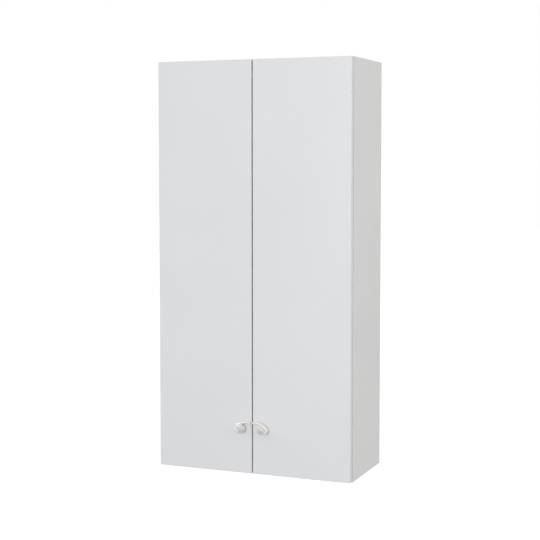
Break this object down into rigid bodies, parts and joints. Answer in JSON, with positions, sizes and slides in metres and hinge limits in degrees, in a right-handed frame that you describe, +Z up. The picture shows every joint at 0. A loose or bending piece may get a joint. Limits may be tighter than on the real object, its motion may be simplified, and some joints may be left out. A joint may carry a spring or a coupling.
{
  "type": "wall cabinet",
  "caption": "Tall two-door hanging wall cabinet with shelved compartments, concealed cup hinges and comma-shaped knobs.",
  "frame": {"origin": "middle of the top panel's rear edge, on the wall plane", "axes": "+X right, +Y towards the wall, +Z up"},
  "size_m": [0.5, 0.2453, 1],
  "materials": {
    "board": "white melamine-faced board, fine satin grain",
    "door_face": "smooth white lacquer, soft sheen",
    "knob": "glossy white ceramic glaze, warmer on the round bulb",
    "hardboard": "white painted hardboard",
    "zinc": "nickel-plated pressed steel",
    "housing_plastic": "moulded white plastic",
    "bumper_rubber": "translucent soft rubber"
  },
  "bodies": {
    "carcass": {"back_panel": "hardboard", "bottom_panel": "board", "hanger_depth_screw_left": "zinc", "hanger_depth_screw_right": "zinc", "hanger_height_screw_left": "zinc", "hanger_height_screw_right": "zinc", "hanger_hook_left": "zinc", "hanger_hook_right": "zinc", "hanger_housing_left": "housing_plastic", "hanger_housing_right": "housing_plastic", "hinge_arm_bottom_left": "zinc", "hinge_arm_bottom_right": "zinc", "hinge_arm_top_left": "zinc", "hinge_arm_top_right": "zinc", "hinge_plate_bottom_left": "zinc", "hinge_plate_bottom_right": "zinc", "hinge_plate_top_left": "zinc", "hinge_plate_top_right": "zinc", "shelf_1": "board", "shelf_2": "board", "shelf_3": "board", "shelf_pin_1_front_left": "zinc", "shelf_pin_1_front_right": "zinc", "shelf_pin_1_rear_left": "zinc", "shelf_pin_1_rear_right": "zinc", "shelf_pin_2_front_left": "zinc", "shelf_pin_2_front_right": "zinc", "shelf_pin_2_rear_left": "zinc", "shelf_pin_2_rear_right": "zinc", "shelf_pin_3_front_left": "zinc", "shelf_pin_3_front_right": "zinc", "shelf_pin_3_rear_left": "zinc", "shelf_pin_3_rear_right": "zinc", "side_panel_left": "board", "side_panel_right": "board", "top_panel": "board"},
    "left_door": {"bumper_bottom_left": "bumper_rubber", "bumper_top_left": "bumper_rubber", "door_left": "door_face", "hinge_cup_bottom_left": "zinc", "hinge_cup_top_left": "zinc", "hinge_pin_bottom_left": "zinc", "hinge_pin_top_left": "zinc", "knob_left": "knob", "knob_screw_left": "zinc"},
    "right_door": {"bumper_bottom_right": "bumper_rubber", "bumper_top_right": "bumper_rubber", "door_right": "door_face", "hinge_cup_bottom_right": "zinc", "hinge_cup_top_right": "zinc", "hinge_pin_bottom_right": "zinc", "hinge_pin_top_right": "zinc", "knob_right": "knob", "knob_screw_right": "zinc"}
  },
  "joints": [
    {"name": "left_door_hinge", "type": "hinge", "parent": "carcass", "child": "left_door", "pos_m": [-0.2426, -0.2242, -0.492], "axis": [0, 0, -1], "range_deg": [0, 95]},
    {"name": "right_door_hinge", "type": "hinge", "parent": "carcass", "child": "right_door", "pos_m": [0.2426, -0.2242, -0.492], "axis": [0, 0, 1], "range_deg": [0, 95]}
  ]
}
